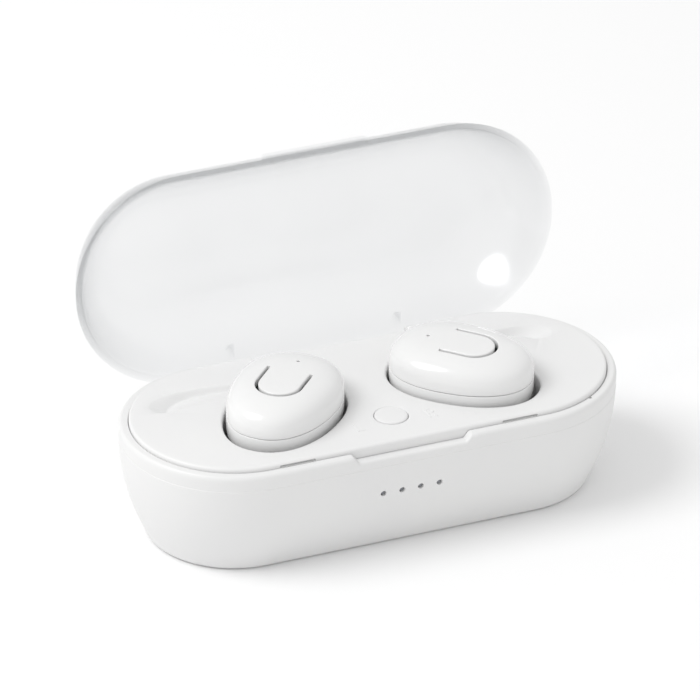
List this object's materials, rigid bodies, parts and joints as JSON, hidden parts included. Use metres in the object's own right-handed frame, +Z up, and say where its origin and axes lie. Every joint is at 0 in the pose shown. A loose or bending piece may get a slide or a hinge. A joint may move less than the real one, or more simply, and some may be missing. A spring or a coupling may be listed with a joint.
{
  "type": "wireless earbuds case",
  "caption": "Pill-shaped white charging case with a clear hinged lid, an inner tray with a flush power button, and wireless earbuds standing in its pockets.",
  "frame": {"origin": "centre of the base's flat underside", "axes": "+X along the case from the left earbud to the right, +Y from the front to the hinge, +Z up"},
  "size_m": [0.08, 0.0504, 0.0503],
  "materials": {
    "shell_white": "satin moulded white",
    "tray_white": "satin moulded white",
    "bud_white": "gloss white",
    "lid_clear": "clear, faintly grey",
    "steel": "plated",
    "gold": "gold plated",
    "board": "solder mask",
    "battery_wrap": "foil",
    "foam": "foam",
    "diffuser": "milky",
    "led": "clear epoxy",
    "silicone": "soft matt",
    "mesh": "woven",
    "magnet": "nickel",
    "black_plastic": "matt"
  },
  "bodies": {
    "base": {"lower_case_shell": "shell_white", "inner_tray": "tray_white", "power_switch": "black_plastic", "button_board": "board", "main_board": "board", "usb_socket": "steel", "battery_foam": "foam", "case_battery": "battery_wrap", "light_guide": "diffuser", "status_led_1": "led", "status_led_2": "led", "status_led_3": "led", "status_led_4": "led", "led_board": "board", "hinge_pin": "steel", "left_contact_board": "board", "left_case_magnet": "magnet", "right_contact_board": "board", "right_case_magnet": "magnet"},
    "lid": {"lid": "lid_clear"},
    "power_button": {"power_button": "tray_white"},
    "left_bud": {"left_bud_outer_shell": "bud_white", "left_bud_inner_shell": "bud_white", "left_bud_ear_tip": "silicone", "left_bud_nozzle_mesh": "mesh", "left_bud_speaker": "magnet", "left_bud_battery": "battery_wrap", "left_bud_board": "board", "left_bud_switch": "black_plastic", "left_bud_magnet": "magnet", "left_bud_contact_a": "gold", "left_bud_contact_b": "gold"},
    "left_bud_button": {"left_bud_button": "bud_white"},
    "left_charge_pin_a": {"left_charge_pin_a": "gold"},
    "left_charge_pin_b": {"left_charge_pin_b": "gold"},
    "right_bud": {"right_bud_outer_shell": "bud_white", "right_bud_inner_shell": "bud_white", "right_bud_ear_tip": "silicone", "right_bud_nozzle_mesh": "mesh", "right_bud_speaker": "magnet", "right_bud_battery": "battery_wrap", "right_bud_board": "board", "right_bud_switch": "black_plastic", "right_bud_magnet": "magnet", "right_bud_contact_a": "gold", "right_bud_contact_b": "gold"},
    "right_bud_button": {"right_bud_button": "bud_white"},
    "right_charge_pin_a": {"right_charge_pin_a": "gold"},
    "right_charge_pin_b": {"right_charge_pin_b": "gold"}
  },
  "joints": [
    {"name": "lid_hinge", "type": "hinge", "parent": "base", "child": "lid", "pos_m": [0, 0.0168, 0.0156], "axis": [-1, 0, 0], "range_deg": [-94, 0]},
    {"name": "power_button_press", "type": "slide", "parent": "base", "child": "power_button", "axis": [0, 0, 1], "range_m": [-0.0004, 0], "stiffness_N_per_m": 1000},
    {"name": "left_bud_lift", "type": "slide", "parent": "base", "child": "left_bud", "axis": [0, 0, 1], "range_m": [0, 0.025]},
    {"name": "left_button_press", "type": "hinge", "parent": "left_bud", "child": "left_bud_button", "pos_m": [-0.0132, -0.00001, 0.0248], "axis": [-0.7193, 0.6947, 0], "range_deg": [-2.5, 0], "stiffness_Nm_per_rad": 0.1},
    {"name": "left_charge_pin_a_travel", "type": "slide", "parent": "base", "child": "left_charge_pin_a", "axis": [0, 0, 1], "range_m": [-0.0006, 0], "stiffness_N_per_m": 300},
    {"name": "left_charge_pin_b_travel", "type": "slide", "parent": "base", "child": "left_charge_pin_b", "axis": [0, 0, 1], "range_m": [-0.0006, 0], "stiffness_N_per_m": 300},
    {"name": "right_bud_lift", "type": "slide", "parent": "base", "child": "right_bud", "axis": [0, 0, 1], "range_m": [0, 0.025]},
    {"name": "right_button_press", "type": "hinge", "parent": "right_bud", "child": "right_bud_button", "pos_m": [0.0132, -0.00001, 0.0248], "axis": [-0.7193, -0.6947, 0], "range_deg": [-2.5, 0], "stiffness_Nm_per_rad": 0.1},
    {"name": "right_charge_pin_a_travel", "type": "slide", "parent": "base", "child": "right_charge_pin_a", "axis": [0, 0, 1], "range_m": [-0.0006, 0], "stiffness_N_per_m": 300},
    {"name": "right_charge_pin_b_travel", "type": "slide", "parent": "base", "child": "right_charge_pin_b", "axis": [0, 0, 1], "range_m": [-0.0006, 0], "stiffness_N_per_m": 300}
  ]
}
